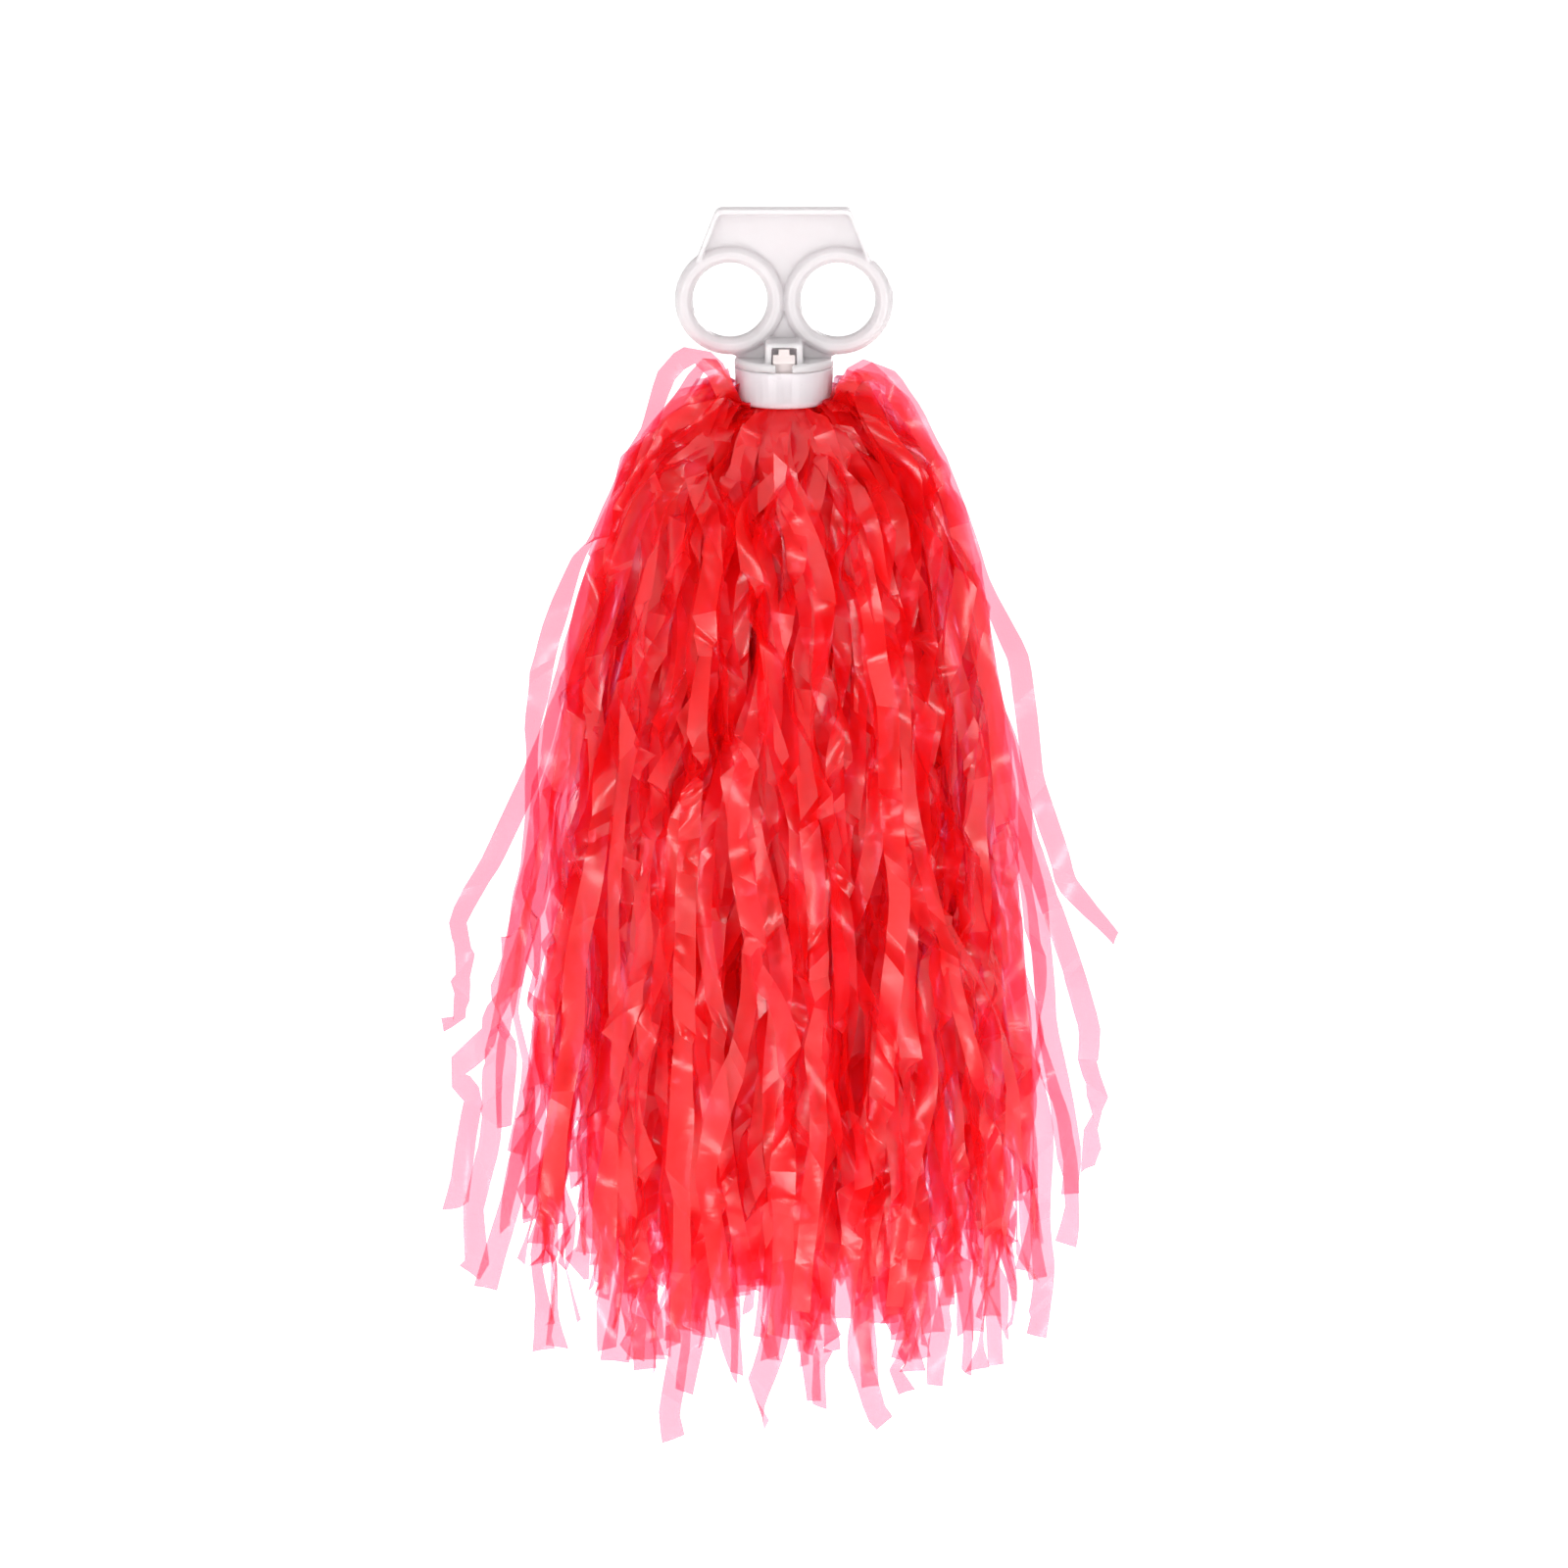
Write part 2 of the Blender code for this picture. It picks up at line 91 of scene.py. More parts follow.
# Film strips
STRIP_WIDTH = 0.0063
STRIP_LENGTH = (0.262, 0.294)
ROW_STEP = 0.0045
OUTER_STRIPS = 22
INNER_STRIPS = 15
CORE_STRIPS = 16
SECTORS = 10
CORE_TUFTS = 4

# How far out in the bell each layer lies: 0 in the middle and 1 at the surface
OUTER_SHARES = (0.72, 1.06)
INNER_SHARES = (0.34, 0.74)
CORE_SHARES = (0.02, 0.36)

# Radius and height where a tuft would start and end its change from the handle's motion to its own. Only
# their presence is read: a tuft given them is baked in place and not attached to the handle
OUTER_BLEND = (0.0150, -0.0580, 0.0300, -0.0680)
INNER_BLEND = (0.0110, -0.0610, 0.0230, -0.0760)

# How strips lie: the share of them that cross, roll over, flare out or are cut short
PATH_STEP = 0.0015
CROSSING_SHARE = 0.17
ROLLED_SHARE = 0.40
SHORT_SHARE = 0.30
FLARED_SHARE = 0.28
FLARE_FROM = 0.80
FLARE = (0.06, 0.36)
STRAY_TURN = 0.25
STRAY_SPREAD = 0.45

# Creases across a strip
CLOSE_SHARE = 0.52
CLOSE_GAP = (0.0025, 0.0060)
WIDE_GAP = (0.010, 0.032)
MAX_SLANT = 0.0034
MAX_CREASE = 0.0024
CREASE_SLOPE = 0.40
CREASE_TILT = 0.00135
ROW_MERGE = 0.0009
SHARP_SHARE = 0.8

# What light keeps as it passes one layer of film
FILM_TINT = (0.96, 0.72, 0.925, 1.0)

# Where the film leaves the collar
COLLAR_LOW, COLLAR_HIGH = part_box("collar_cup")
RIM_Z = COLLAR_LOW.z
RIM_R = COLLAR_HIGH.x
NECK_R = 0.0106

# Half width of the bell at each height
BELL_Z = np.array([-0.050, -0.056, -0.064, -0.075, -0.086, -0.100, -0.116, -0.145, -0.174, -0.204,
                   -0.233, -0.263, -0.292, -0.330, -0.380])
BELL_R = np.array([0.0240, 0.0310, 0.0370, 0.0420, 0.0456, 0.0495, 0.0535, 0.0590, 0.0618, 0.0650,
                   0.0672, 0.0692, 0.0720, 0.0740, 0.0750])
BELL_DEPTH = 0.80
BELL_LEAN = 0.0020


def lerp(a, b, t):
    return a + (b - a) * t


def smoothstep(x, low, high):
    t = np.clip((x - low) / (high - low), 0.0, 1.0)
    return t * t * (3 - 2 * t)


def catmull_rom(knots, step):
    """A smooth curve through the knots, in even steps of its length."""
    knots = np.asarray(knots, float)
    ends = [2 * knots[0] - knots[1], 2 * knots[-1] - knots[-2]]
    k = np.vstack([ends[0], knots, ends[1]])
    t = np.linspace(0, 1, 13)[:-1, None]
    parts = []
    for a, b, c, d in zip(k, k[1:], k[2:], k[3:]):
        parts.append(0.5 * (2 * b + (c - a) * t + (2 * a - 5 * b + 4 * c - d) * t**2
                            + (3 * b - a - 3 * c + d) * t**3))
    fine = np.vstack(parts + [knots[-1:]])
    return resampled(fine, step)


def resampled(line, step):
    lengths = np.r_[0, np.cumsum(np.linalg.norm(np.diff(line, axis=0), axis=1))]
    s = np.arange(0, lengths[-1], step)
    return np.stack([np.interp(s, lengths, line[:, i]) for i in range(line.shape[1])], axis=1)


def depth_share(z):
    return 1 - (1 - BELL_DEPTH) * smoothstep(-z, 0.066, 0.130)


def jagged(rng, s, spacing, amount, start=0.0):
    """Straight stretches between random values, as film lies between its kinks."""
    gaps = rng.uniform(0.5, 1.5, int(s[-1] / spacing) + 3) * spacing
    at = np.r_[0, np.cumsum(gaps)]
    values = rng.normal(0, amount, len(at))
    values[0] = start
    return np.interp(s, at, values)


def swaying(rng, s, wavelength, amount):
    """A slow wave along a strip."""
    phase, k = rng.uniform(0, math.tau), math.tau / (wavelength * rng.uniform(0.8, 1.25))
    return amount * (np.sin(s * k + phase) - math.sin(phase))


def fall_line(rng, azimuth, share):
    """Radius and height of a strip that leaves the collar, turns over its rim and falls inside the bell.
    Share is 0 in the middle of the bell and 1 at its surface. The film arches higher at the sides."""
    side = float(smoothstep(abs(math.sin(azimuth)), 0.70, 1.0))
    arch = side * float(smoothstep(share, 0.40, 0.95)) * rng.uniform(0.25, 1.0)
    bell_share = 0.06 + 0.94 * share
    root = NECK_R * min(1.0, 0.15 + 0.85 * share)
    apex_r = lerp(RIM_R * (0.35 + 0.70 * min(share, 1.0)), RIM_R + rng.uniform(0.004, 0.012), arch)
    apex_z = RIM_Z - lerp(0.0030 + 0.004 * (1 - min(share, 1.0)), -0.0105, arch)
    knots = [(root, RIM_Z + 0.0050), (root, RIM_Z + 0.0008)]
    knots += [(lerp(root, apex_r, 0.55 - 0.25 * arch), RIM_Z - 0.0024 + 0.0006 * arch)]
    if arch > 0.15:
        knots += [(lerp(root, apex_r, 0.72), lerp(RIM_Z - 0.002, apex_z, 0.50))]
    knots += [(apex_r, apex_z)]
    first = len([z for z in BELL_Z if z > apex_z - 0.008])
    for z, r in zip(BELL_Z[first:], BELL_R[first:]):
        eased = lerp(apex_r, r * bell_share, float(smoothstep(-z, -apex_z + 0.001, -apex_z + 0.022)))
        knots.append((max(eased, r * bell_share) if z < -0.08 else eased, z))
    return knots


def strip_path(rng, azimuth, share, wander, flare=0.0):
    """The centreline of one strip, and the outward direction at each of its points."""
    line = catmull_rom(fall_line(rng, azimuth, share), PATH_STEP)
    s = np.arange(len(line)) * PATH_STEP
    grow = smoothstep(s, 0.015, 0.14)
    late = smoothstep(s, 0.08, 0.29)
    across = (grow * (swaying(rng, s, 0.085, 0.0010) + swaying(rng, s, 0.20, 0.0036))
              + late * jagged(rng, s, 0.075, 0.0042)) * wander
    outward = (grow * (swaying(rng, s, 0.060, 0.0012) + swaying(rng, s, 0.15, 0.0022))
               + late * rng.normal(0, 0.0035)) * wander
    start = rng.uniform(0.015, 0.10)
    drift = rng.normal(0, 0.29) * smoothstep(s, start, start + rng.uniform(0.10, 0.25)) * wander
    front = 1 - float(smoothstep(abs(math.sin(azimuth)), 0.45, 0.75))
    # At the front, strips leave the collar turned aside, so that they cross one another
    if rng.random() < CROSSING_SHARE:
        turned = rng.uniform(0.6, 1.2) * rng.choice([-1, 1])
    else:
        turned = rng.normal(0, 0.30)
    crossing = front * turned * (1 - smoothstep(s, 0.014, rng.uniform(0.050, 0.080)))
    a = azimuth + drift + crossing
    r, z = line[:, 0] * (1 + flare * smoothstep(s, 0.05, 0.24)) + outward, line[:, 1]
    k = depth_share(z)
    centre = np.stack([r * np.sin(a), -r * np.cos(a) * k, z], axis=1)
    centre[:, 0] += BELL_LEAN * smoothstep(-z, 0.15, 0.33)
    around = np.stack([np.cos(a), np.sin(a) * k, np.zeros_like(z)], axis=1)
    around /= np.linalg.norm(around, axis=1)[:, None]
    return centre + around * across[:, None], around


def frames(centre, around):
    """Side and outward normal along a centreline."""
    tangent = np.gradient(centre, axis=0)
    tangent /= np.linalg.norm(tangent, axis=1)[:, None]
    side = around - tangent * np.sum(around * tangent, axis=1)[:, None]
    side /= np.linalg.norm(side, axis=1)[:, None]
    return side, np.cross(tangent, side)


def twist_along(rng, s, facing, spread):
    """How far a strip is turned about its own line: it wavers, and now and then rolls right over."""
    turn = facing * smoothstep(s, 0.01, 0.05)
    turn = turn + swaying(rng, s, 0.14, spread * 0.6) + jagged(rng, s, 0.050, spread * 0.4)
    if rng.random() < ROLLED_SHARE:
        at = rng.uniform(0.05, 0.27)
        turn = turn + rng.choice([-1, 1]) * math.pi * smoothstep(s, at, at + rng.uniform(0.015, 0.045))
    return turn * smoothstep(s, 0.004, 0.022)


def crease_lines(rng, length):
    """Where a strip is creased, and the slant of each crease. Creases come in groups."""
    at, slant, places, slants = 0.012, 0.0, [], []
    while at < length - 0.004:
        places.append(at)
        slants.append(slant)
        gap = rng.uniform(*CLOSE_GAP) if rng.random() < CLOSE_SHARE else rng.uniform(*WIDE_GAP)
        reach = min(0.75 * gap, 0.005)
        slant = float(np.clip(slant + rng.uniform(-1, 1) * reach, -MAX_SLANT, MAX_SLANT))
        at += gap
    return np.array(places), np.array(slants)


def ribbon(rng, centre, around, length, facing, spread, width):
    """Vertices of one strip, three to a row. Rows lie along its creases, which run slantwise across it."""
    s = np.r_[0, np.cumsum(np.linalg.norm(np.diff(centre, axis=0), axis=1))]
    length = min(length, s[-1] - 0.004)
    side, normal = frames(centre, around)
    turn = twist_along(rng, s, facing, spread)[:, None]
    flat = np.cos(turn) * side + np.sin(turn) * normal
    face = np.cos(turn) * normal - np.sin(turn) * side
    creases, slants = crease_lines(rng, length)
    rows = np.unique(np.r_[np.arange(0, length, ROW_STEP), creases, length].round(5))
    rows = rows[np.r_[True, np.diff(rows) > ROW_MERGE]]
    at_crease = np.min(np.abs(rows[:, None] - creases[None, :]), axis=1) < ROW_MERGE
    sharp = at_crease & (rng.random(len(rows)) < SHARP_SHARE)
    knots = np.r_[0, creases, length]
    rises = rng.normal(0, CREASE_SLOPE, len(knots) - 1) * np.diff(knots)
    heights = [0.0]
    for rise in rises:
        heights.append(float(np.clip(0.45 * heights[-1] + rise, -MAX_CREASE, MAX_CREASE)))
    tilts = rng.normal(0, CREASE_TILT, len(knots))
    settle = smoothstep(rows, 0.008, 0.022)
    height = np.interp(rows, knots, heights) * settle
    height = height + settle * (swaying(rng, rows, 0.042, 0.0007) + swaying(rng, rows, 0.017, 0.00016))
    tilt = np.interp(rows, knots, tilts) * settle
    slant = np.interp(rows, knots, np.r_[0, slants, rng.uniform(-0.0006, 0.0006)])
    curl = rng.uniform(-0.00055, 0.00055) + swaying(rng, rows, 0.075, 0.00035)
    out = np.empty((len(rows), 3, 3))
    for column, v in enumerate((-1.0, 0.0, 1.0)):
        at = np.clip(rows + v * slant, 0, s[-1])
        p, b, n = (np.stack([np.interp(at, s, f[:, i]) for i in range(3)], axis=1)
                   for f in (centre, flat, face))
        lift = height + v * tilt + curl * (v * v - 0.5)
        out[:, column] = p + b * (v * width / 2) + n * lift[:, None]
    return out, rows, sharp


class Bunch:
    """Collects strips and makes one mesh of them."""

    def __init__(self):
        self.points, self.faces, self.along, self.tone, self.sharp = [], [], [], [], []
        self.width, self.area, self.longest = 0.0, 0.0, 0.0

    def add(self, strip, tone, width=STRIP_WIDTH):
        grid, rows, sharp = strip
        base = sum(len(p) for p in self.points)
        self.points.append(grid.reshape(-1, 3))
        self.along.append(np.repeat(rows, 3))
        self.tone.append(np.full(len(rows) * 3, tone))
        self.sharp.append(sharp)
        for i in range(len(rows) - 1):
            for j in (0, 1):
                a = base + 3 * i + j
                self.faces.append((a, a + 1, a + 4, a + 3))
        self.width += width
        self.area += width * rows[-1]
        self.longest = max(self.longest, rows[-1])

    def build(self, name, material):
        mesh = bpy.data.meshes.new(name)
        mesh.from_pydata(np.vstack(self.points).tolist(), [], self.faces)
        for label, values in (("strip_along", self.along), ("strip_tone", self.tone)):
            attribute = mesh.attributes.new(label, "FLOAT", "POINT")
            attribute.data.foreach_set("value", np.concatenate(values).astype(np.float32))
        mesh.materials.append(material)
        mesh.shade_smooth()
        ends = np.empty(len(mesh.edges) * 2, np.int32)
        mesh.edges.foreach_get("vertices", ends)
        row = ends.reshape(-1, 2) // 3
        folded = np.concatenate(self.sharp)
        hard = (row[:, 0] == row[:, 1]) & folded[row[:, 0]]
        mesh.attributes.new("sharp_edge", "BOOLEAN", "EDGE").data.foreach_set("value", hard)
        obj = bpy.data.objects.new(name, mesh)
        bpy.context.scene.collection.objects.link(obj)
        return obj


# ---------------------------------------------------------------- materials


class Nodes:
    """A short way to write a material's node tree."""

    def __init__(self, name):
        self.material = bpy.data.materials.new(name)
        self.material.use_nodes = True
        self.tree = self.material.node_tree
        self.tree.nodes.clear()

    def add(self, kind, links=None, **settings):
        node = self.tree.nodes.new(kind)
        for key, value in settings.items():
            setattr(node, key, value)
        for socket, value in (links or {}).items():
            if isinstance(value, bpy.types.NodeSocket):
                self.tree.links.new(value, node.inputs[socket])
            else:
                node.inputs[socket].default_value = value
        return node

    def ramp(self, factor, stops):
        node = self.add("ShaderNodeValToRGB", {"Fac": factor})
        elements = node.color_ramp.elements
        while len(elements) < len(stops):
            elements.new(0.5)
        for element, (position, colour) in zip(elements, stops):
            element.position = position
            element.color = (*colour, 1.0)
        return node.outputs["Color"]

    def finish(self, shader):
        self.add("ShaderNodeOutputMaterial", {"Surface": shader})
        return self.material


def noise(nodes, coordinates, scale, detail=3.0, roughness=0.5):
    return nodes.add("ShaderNodeTexNoise", {"Vector": coordinates, "Scale": scale, "Detail": detail,
                                            "Roughness": roughness}).outputs["Fac"]


def film_material(name, see_through, deep, bright):
    """Dyed polyethylene film: glossy, crinkled, and clear enough that one layer looks pink."""
    n = Nodes(name)
    where = n.add("ShaderNodeTexCoord").outputs["Object"]
    tone = n.add("ShaderNodeAttribute", attribute_name="strip_tone").outputs["Fac"]
    patches = noise(n, where, 38.0, 2.0)
    mixed = n.add("ShaderNodeMath", {0: tone, 1: patches}, operation="ADD").outputs[0]
    level = n.add("ShaderNodeMapRange", {"Value": mixed, "From Min": 0.55, "From Max": 1.45}).outputs[0]
    colour = n.ramp(level, [(0.0, deep), (1.0, bright)])
    stretched = n.add("ShaderNodeMapping", {"Vector": where, "Scale": (110.0, 110.0, 330.0)}).outputs[0]
    wrinkles = noise(n, stretched, 1.0, 3.0, 0.55)
    fine = n.add("ShaderNodeBump", {"Height": wrinkles, "Strength": 0.22, "Distance": 0.0007})
    roughness = n.add("ShaderNodeMapRange", {"Value": noise(n, where, 90.0), "To Min": 0.14,
                                             "To Max": 0.28}).outputs[0]
    surface = n.add("ShaderNodeBsdfPrincipled", {"Base Color": colour, "Roughness": roughness, "IOR": 1.65,
                                                 "Specular IOR Level": 0.95, "Normal": fine.outputs[0]})
    glow = n.add("ShaderNodeBsdfTranslucent", {"Color": colour, "Normal": fine.outputs[0]})
    body = n.add("ShaderNodeMixShader", {"Fac": 0.44, 1: surface.outputs[0], 2: glow.outputs[0]})
    clear = n.add("ShaderNodeBsdfTransparent", {"Color": FILM_TINT})
    film = n.add("ShaderNodeMixShader", {"Fac": see_through, 1: body.outputs[0], 2: clear.outputs[0]})
    return n.finish(film.outputs[0])


def plastic_material(name, light, shade, roughness, soft=0.9):
    """Moulded plastic: a glossy skin with a faint orange-peel surface and slightly uneven tone."""
    n = Nodes(name)
    where = n.add("ShaderNodeTexCoord").outputs["Object"]
    colour = n.ramp(noise(n, where, 45.0, 2.0), [(0.3, shade), (0.7, light)])
    peel = n.add("ShaderNodeBump", {"Height": noise(n, where, 900.0, 2.0), "Strength": 0.06,
                                    "Distance": 0.0002})
    rough = n.add("ShaderNodeMapRange", {"Value": noise(n, where, 160.0, 4.0),
                                         "To Min": roughness - 0.05, "To Max": roughness + 0.07})
    skin = n.add("ShaderNodeBsdfPrincipled", {
        "Base Color": colour, "Roughness": rough.outputs[0], "IOR": 1.49,
        "Normal": peel.outputs[0], "Subsurface Weight": soft,
        "Subsurface Radius": (0.010, 0.0094, 0.0096), "Subsurface Scale": 1.0,
    })
    return n.finish(skin.outputs[0])


def wire_material(name):
    n = Nodes(name)
    where = n.add("ShaderNodeTexCoord").outputs["Object"]
    colour = n.ramp(noise(n, where, 300.0), [(0.3, (0.45, 0.45, 0.46)), (0.7, (0.66, 0.66, 0.67))])
    metal = n.add("ShaderNodeBsdfPrincipled", {"Base Color": colour, "Metallic": 1.0, "Roughness": 0.35})
    return n.finish(metal.outputs[0])


def floor_material(name):
    n = Nodes(name)
    where = n.add("ShaderNodeTexCoord").outputs["Object"]
    colour = n.ramp(noise(n, where, 3.0), [(0.3, (0.93, 0.93, 0.93)), (0.7, (0.95, 0.95, 0.95))])
    matte = n.add("ShaderNodeBsdfDiffuse", {"Color": colour})
    away = n.add("ShaderNodeVectorMath", {0: where}, operation="LENGTH").outputs["Value"]
    strength = n.add("ShaderNodeMapRange", {"Value": away, "From Min": 0.8, "From Max": 2.2,
                                            "To Min": 0.64, "To Max": 0.97}).outputs[0]
    lit = n.add("ShaderNodeEmission", {"Color": colour, "Strength": strength})
    return n.finish(n.add("ShaderNodeAddShader", {0: matte.outputs[0], 1: lit.outputs[0]}).outputs[0])


# ---------------------------------------------------------------- moulded parts


def refined(node, voxel, passes, material, body, lift=0.0):
    """A finer copy of a moulded CAD node, its corners and joins softened as a mould leaves them."""
    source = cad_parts[node]
    obj = bpy.data.objects.new(node + "_moulded", source.data.copy())
    bpy.context.scene.collection.objects.link(obj)
    obj.data.materials.clear()
    remesh = obj.modifiers.new("remesh", "REMESH")
    remesh.mode = "VOXEL"
    remesh.voxel_size = voxel
    soften = obj.modifiers.new("soften", "SMOOTH")
    soften.factor = 0.5
    soften.iterations = passes
    bpy.context.view_layer.update()
    graph = bpy.context.evaluated_depsgraph_get()
    mesh = bpy.data.meshes.new_from_object(obj.evaluated_get(graph))
    obj.modifiers.clear()
    obj.data = mesh
    if lift:
        top = max(vertex.co.z for vertex in mesh.vertices)
        for vertex in mesh.vertices:
            if vertex.co.z > top - 0.002:
                vertex.co.z += lift * (vertex.co.z - top + 0.002) / 0.002
    mesh.materials.append(material)
    mesh.shade_smooth()
    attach(obj, body)
    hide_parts(node)
    return obj


def gathered_head(material):
    """The pleated neck of the film sheets, from inside the collar to where they turn out under it."""
    low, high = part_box("bundle_head")
    around, profile = 160, [(0.30, high.z), (0.66, high.z - 0.0006), (0.71, high.z - 0.003),
                            (0.66, RIM_Z + 0.0008), (0.64, RIM_Z - 0.0004), (0.80, RIM_Z - 0.0022),
                            (0.90, RIM_Z - 0.0034), (0.70, low.z - 0.001), (0.30, low.z - 0.0015)]
    rng = np.random.default_rng(5)
    phase = rng.uniform(0, math.tau, 3)
    mesh = bpy.data.meshes.new("film_head")
    points, faces = [], []
    for j, (share, z) in enumerate(profile):
        for i in range(around):
            a = math.tau * i / around
            pleat = 0.030 * math.sin(23 * a + phase[0] + 0.4 * j) + 0.020 * math.sin(37 * a + phase[1])
            r = high.x * (share + pleat * min(share, 0.8))
            points.append((r * math.sin(a), -r * math.cos(a), z))
    for j in range(len(profile) - 1):
        for i in range(around):
            k = (i + 1) % around
            faces.append((j * around + i, (j + 1) * around + i, (j + 1) * around + k, j * around + k))
    top, bottom = len(points), len(points) + 1
    points += [(0, 0, profile[0][1]), (0, 0, profile[-1][1])]
    last = (len(profile) - 1) * around
    for i in range(around):
        k = (i + 1) % around
        faces.append((top, i, k))
        faces.append((bottom, last + k, last + i))
    mesh.from_pydata(points, [], faces)
    mesh.materials.append(material)
    mesh.shade_smooth()
    obj = bpy.data.objects.new("film_head", mesh)
    bpy.context.scene.collection.objects.link(obj)
    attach(obj, "handle")
    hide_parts("bundle_head")
    return obj


# ---------------------------------------------------------------- streamers


def strip_length(rng, share):
    """Outer strips have the longer cut. Most keep it, and some are a little short."""
    full = lerp(*STRIP_LENGTH, min(share, 1.0))
    pick = rng.random()
    if pick < SHORT_SHARE:
        return full - rng.uniform(0.008, 0.040)
    if pick > 0.90:
        return full + rng.uniform(0.010, 0.032)
    return full + rng.normal(0, 0.007)


def tuft(name, node, index, sectors, shares, count, material, seed, pivot=None, loose=()):
    """A bunch of strips in one sector of the bell, in place of a CAD tuft."""
    rng = np.random.default_rng(seed)
    bunch = Bunch()
    middle = math.tau * index / sectors
    order = rng.permutation(count)
    for i in range(count):
        spot = (i + rng.uniform(0.1, 0.9)) / count - 0.5
        azimuth = middle + spot * math.tau / sectors
        share = lerp(shares[0], shares[1], (order[i] + rng.uniform(0.2, 0.8)) / count)
        flare = rng.uniform(*FLARE) if share > FLARE_FROM and rng.random() < FLARED_SHARE else 0.0
        centre, around = strip_path(rng, azimuth, share, rng.uniform(0.6, 1.5), flare)
        width = STRIP_WIDTH * rng.uniform(0.76, 1.14)
        turned = rng.normal(0, 0.40 if share < 0.93 else 0.80)
        strip = ribbon(rng, centre, around, strip_length(rng, share) + 0.006, turned,
                       rng.uniform(0.25, 0.65), width)
        bunch.add(strip, rng.uniform(0.2, 0.8), width)
    for strip in loose:
        bunch.add(strip, rng.uniform(0.4, 0.8))
    obj = bunch.build(name, material)
    if pivot:
        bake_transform(obj)
    else:
        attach(obj, "handle")
    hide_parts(node)
    return obj


def stray(seed, knots):
    """A stray strip along a route of its own, given in millimetres, with its flat side to the front."""
    rng = np.random.default_rng(seed)
    corners = np.array(knots, float) / 1000
    ease = np.array([0.0, 0.30, 0.70])[None, :, None]
    bent = (corners[:-1, None] + (corners[1:] - corners[:-1])[:, None] * ease).reshape(-1, 3)
    centre = catmull_rom(np.vstack([bent, corners[-1:]]), PATH_STEP)
    tangent = np.gradient(centre, axis=0)
    around = np.cross((0.0, -1.0, 0.0), tangent)
    around /= np.linalg.norm(around, axis=1)[:, None]
    length = PATH_STEP * (len(centre) - 1)
    facing = rng.normal(0, STRAY_TURN)
    return ribbon(rng, centre, around, length, facing, STRAY_SPREAD, STRIP_WIDTH)


# Stray strips by the outer tuft that they belong to, as (x, y, z) in millimetres
STRAYS = {
    2: [
        [(8, -5, -62), (14, -7, -62), (18, -8, -56), (20, -9, -50), (25, -10, -47), (31, -11, -51),
         (38, -12, -60), (45, -12, -72), (51, -12, -89), (57, -12, -112), (62, -11, -150),
         (67, -10, -200), (71, -8, -250), (74, -6, -304)],
        [(8, -3, -62), (14, -4, -61), (18, -5, -54), (24, -6, -50), (35, -7, -58), (48, -8, -82),
         (60, -8, -112), (70, -7, -135), (75, -6, -171), (84, -5, -204), (101, -4, -226)],
    ],
    3: [
        [(8, 1, -62), (14, 2, -61), (19, 2, -55), (31, 1, -59), (48, 0, -95), (62, 0, -150),
         (73, -1, -190), (85, -2, -225), (93, -2, -251), (92, -2, -299)],
        [(8, 3, -62), (14, 5, -61), (19, 6, -56), (33, 6, -62), (50, 6, -100), (62, 5, -160),
         (76, 4, -210), (80, 3, -250), (88, 2, -290), (84, 2, -322)],
    ],
    7: [
        [(-8, 2, -62), (-14, 3, -61), (-19, 4, -55), (-33, 3, -62), (-50, 2, -98), (-64, 0, -138),
         (-74, -2, -168), (-88, -3, -198), (-98, -4, -216), (-97, -5, -238), (-98, -5, -246),
         (-108, -5, -246)],
        [(-8, 4, -62), (-14, 6, -61), (-20, 7, -57), (-36, 7, -66), (-54, 6, -112), (-68, 4, -170),
         (-80, 2, -225), (-88, 0, -252), (-99, -1, -264), (-93, -2, -272), (-96, -3, -284),
         (-101, -3, -312)],
    ],
    8: [
        [(-8, -5, -62), (-14, -7, -61), (-17, -9, -54), (-20, -10, -47), (-26, -11, -42),
         (-33, -12, -47), (-40, -13, -61), (-50, -13, -84), (-61, -12, -104), (-70, -11, -128),
         (-76, -10, -155), (-78, -8, -195), (-84, -6, -240), (-84, -5, -285)],
        [(-8, -4, -62), (-14, -6, -62), (-19, -7, -56), (-27, -9, -54), (-40, -10, -68),
         (-55, -9, -105), (-68, -8, -150), (-78, -7, -210), (-88, -6, -262), (-89, -6, -285),
         (-94, -5, -305), (-92, -5, -322), (-98, -4, -329)],
        [(-7, -6, -62), (-13, -8, -62), (-18, -11, -58), (-31, -13, -61), (-47, -14, -88),
         (-60, -13, -140), (-70, -11, -200), (-76, -9, -260), (-81, -7, -295), (-92, -5, -334)],
    ],
    0: [
        [(-4, -12, -61), (-9, -21, -62), (-20, -40, -90), (-26, -53, -140), (-29, -60, -200),
         (-30, -64, -270), (-31, -66, -330), (-34, -66, -352), (-32, -66, -364)],
    ],
    1: [
        [(6, -12, -61), (11, -20, -62), (22, -38, -90), (30, -50, -140), (34, -57, -200),
         (27, -61, -270), (22, -62, -335), (27, -62, -352), (33, -62, -359)],
    ],
}


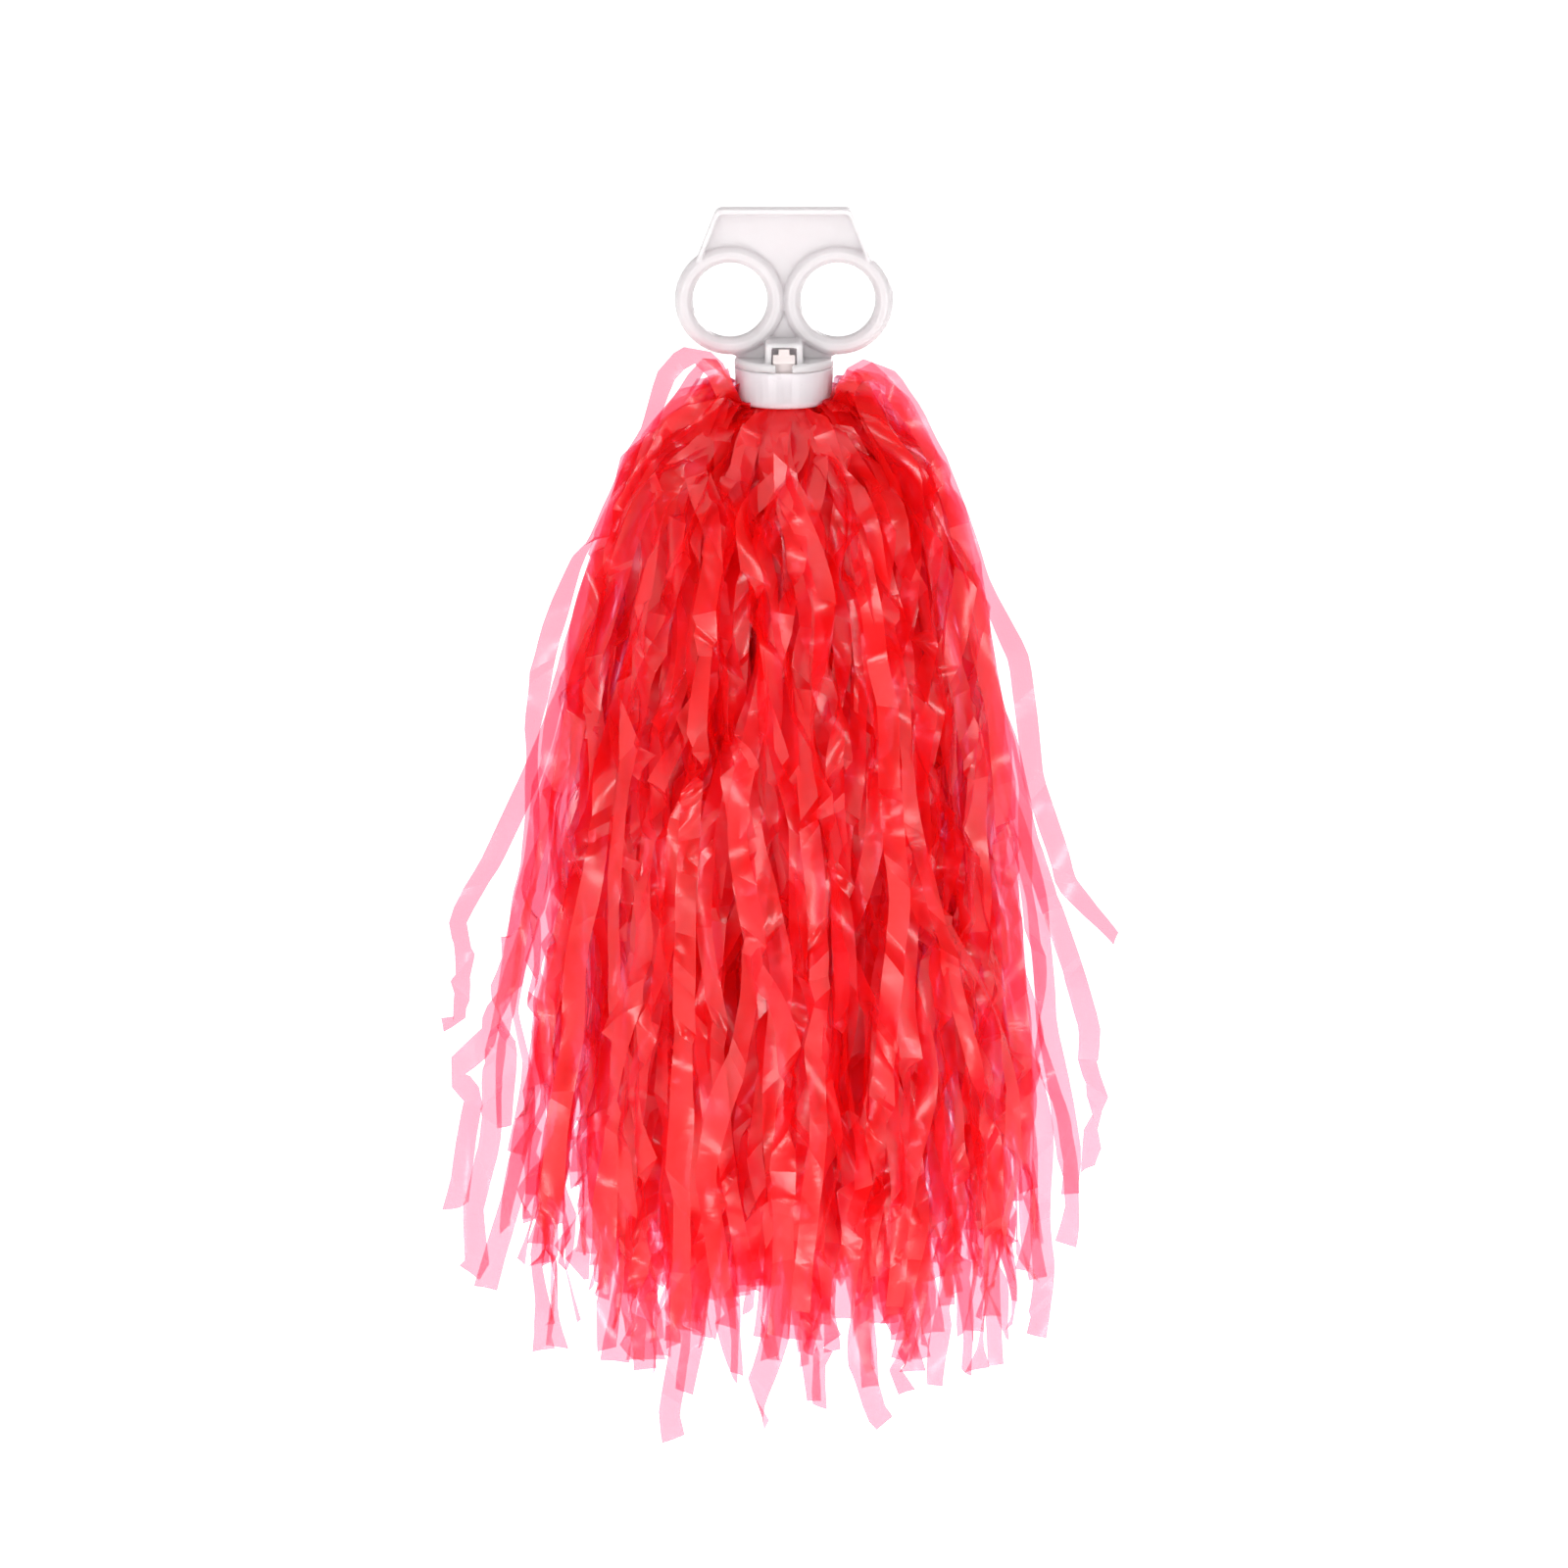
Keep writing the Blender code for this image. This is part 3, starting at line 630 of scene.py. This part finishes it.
def streamers(film):
    for i in range(SECTORS):
        number = f"{i + 1:02d}"
        strays = [stray(500 + 10 * i + j, route) for j, route in enumerate(STRAYS.get(i, []))]
        tuft("film_outer_" + number, "streamer_outer_" + number, i, SECTORS, OUTER_SHARES, OUTER_STRIPS,
             film, 100 + i, OUTER_BLEND, strays)
        tuft("film_inner_" + number, "streamer_inner_" + number, i, SECTORS, INNER_SHARES, INNER_STRIPS,
             film, 200 + i, INNER_BLEND)
    for i in range(CORE_TUFTS):
        number = f"{i + 1:02d}"
        tuft("film_core_" + number, "streamer_core_" + number, i + 0.5, CORE_TUFTS, CORE_SHARES,
             CORE_STRIPS, film, 300 + i)


# ---------------------------------------------------------------- stage


def aim(obj, target):
    obj.rotation_euler = (Vector(target) - obj.location).to_track_quat("-Z", "Y").to_euler()


def stage():
    scene = bpy.context.scene
    scene.view_settings.view_transform = "Standard"
    centre = Vector((0, 0, FRAME_CENTRE_Z))
    camera = bpy.data.objects.new("camera", bpy.data.cameras.new("camera"))
    scene.collection.objects.link(camera)
    camera.data.lens = LENS
    camera.data.sensor_width = SENSOR
    camera.data.clip_end = 50
    distance = FRAME_WIDTH * LENS / SENSOR
    e = math.radians(CAMERA_ELEVATION)
    camera.location = centre + Vector((0, -math.cos(e), math.sin(e))) * distance
    aim(camera, centre)
    scene.camera = camera

    world = bpy.data.worlds.new("studio")
    world.use_nodes = True
    tree = world.node_tree
    height = tree.nodes.new("ShaderNodeSeparateXYZ")
    tree.links.new(tree.nodes.new("ShaderNodeTexCoord").outputs["Generated"], height.inputs[0])
    sky = tree.nodes.new("ShaderNodeValToRGB")
    sky.color_ramp.elements[0].position = HORIZON_BAND
    sky.color_ramp.elements[0].color = (1, 1, 1, 1)
    sky.color_ramp.elements[1].position = HORIZON_BAND + 0.20
    sky.color_ramp.elements[1].color = (0.24, 0.24, 0.24, 1)
    tree.links.new(height.outputs["Z"], sky.inputs["Fac"])
    tree.links.new(sky.outputs["Color"], tree.nodes["Background"].inputs["Color"])
    tree.nodes["Background"].inputs["Strength"].default_value = 1.0
    scene.world = world
    for name, place, size, power in LIGHTS:
        light = bpy.data.lights.new(name, "AREA")
        light.shape = "RECTANGLE"
        light.size, light.size_y = size
        light.energy = power
        lamp = bpy.data.objects.new(name, light)
        scene.collection.objects.link(lamp)
        lamp.location = place
        aim(lamp, centre)
    floor_mesh = bpy.data.meshes.new("floor")
    bm = bmesh.new()
    bmesh.ops.create_circle(bm, cap_ends=True, segments=96, radius=FLOOR_RADIUS)
    bm.to_mesh(floor_mesh)
    bm.free()
    floor = bpy.data.objects.new("floor", floor_mesh)
    scene.collection.objects.link(floor)
    floor.location.z = CAD_LOW.z - FLOOR_DROP
    floor_mesh.materials.append(floor_material("floor_matte"))


def main():
    stage()
    white = plastic_material("handle_plastic", (0.535, 0.512, 0.520), (0.515, 0.493, 0.501), 0.34)
    # Painted light: the collar is the handle's white plastic made lighter and pinker. The lift paints
    # light into its shade under the rings, and the pink paints red bounce from the film below.
    collar = plastic_material("collar_plastic", (0.85, 0.730, 0.800), (0.82, 0.700, 0.770), 0.28)
    # Painted light: the tabs' darker salmon paints the red-tinted shade and red bounce that they get in
    # their windows above the film.
    tab = plastic_material("tab_plastic", (0.70, 0.61, 0.60), (0.66, 0.56, 0.55), 0.30, 0.3)
    film = film_material("film_red", 0.47, (0.96, 0.002, 0.002), (0.99, 0.014, 0.012))
    bound = film_material("film_bound", 0.12, (0.84, 0.003, 0.004), (0.94, 0.014, 0.014))
    refined("handle_frame", 0.00032, 5, white, "handle")
    refined("collar_cup", 0.00028, 4, collar, "handle", 0.00025)
    refined("latch_tab_front", 0.00020, 2, tab, "latch_front")
    refined("latch_tab_rear", 0.00020, 2, tab, "latch_rear")
    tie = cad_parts["binding_tie"]
    tie.data.materials.clear()
    tie.data.materials.append(wire_material("tie_steel"))
    gathered_head(bound)
    streamers(film)


main()
